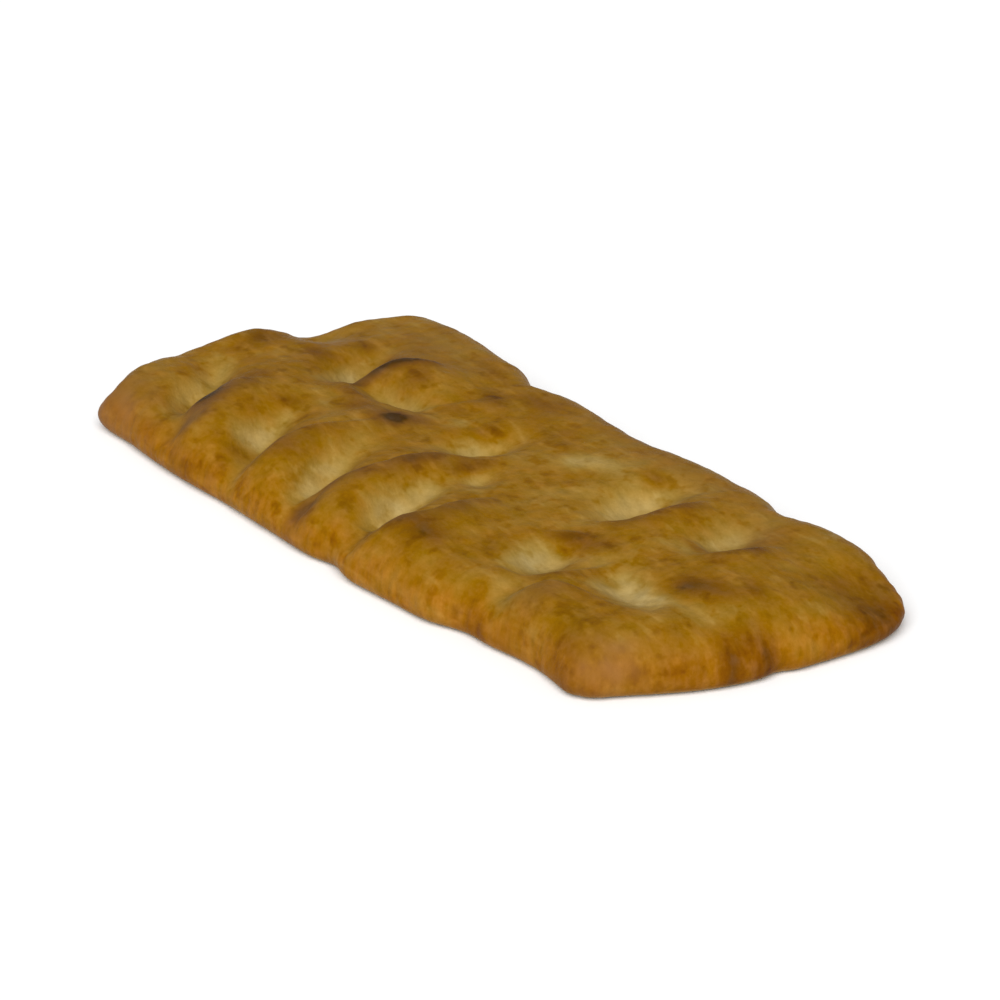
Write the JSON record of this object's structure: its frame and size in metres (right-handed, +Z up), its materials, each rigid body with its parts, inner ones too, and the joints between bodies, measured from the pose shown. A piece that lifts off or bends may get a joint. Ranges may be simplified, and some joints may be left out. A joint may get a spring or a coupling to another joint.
{
  "type": "parbaked flatbread",
  "caption": "Long flat focaccia, dimpled by fingers and baked only until lightly golden, to be finished in an oven",
  "frame": {"origin": "on the flat underside, under the middle of the slab's outline", "axes": "+X along the long side, towards the end that is nearest in the picture; +Y across, towards the long side that is at the back in the picture; +Z up, through the dimpled crust"},
  "size_m": [0.3574, 0.1662, 0.0271],
  "materials": {
    "crust": null
  },
  "bodies": {
    "root": {"focaccia": "crust"}
  },
  "joints": []
}
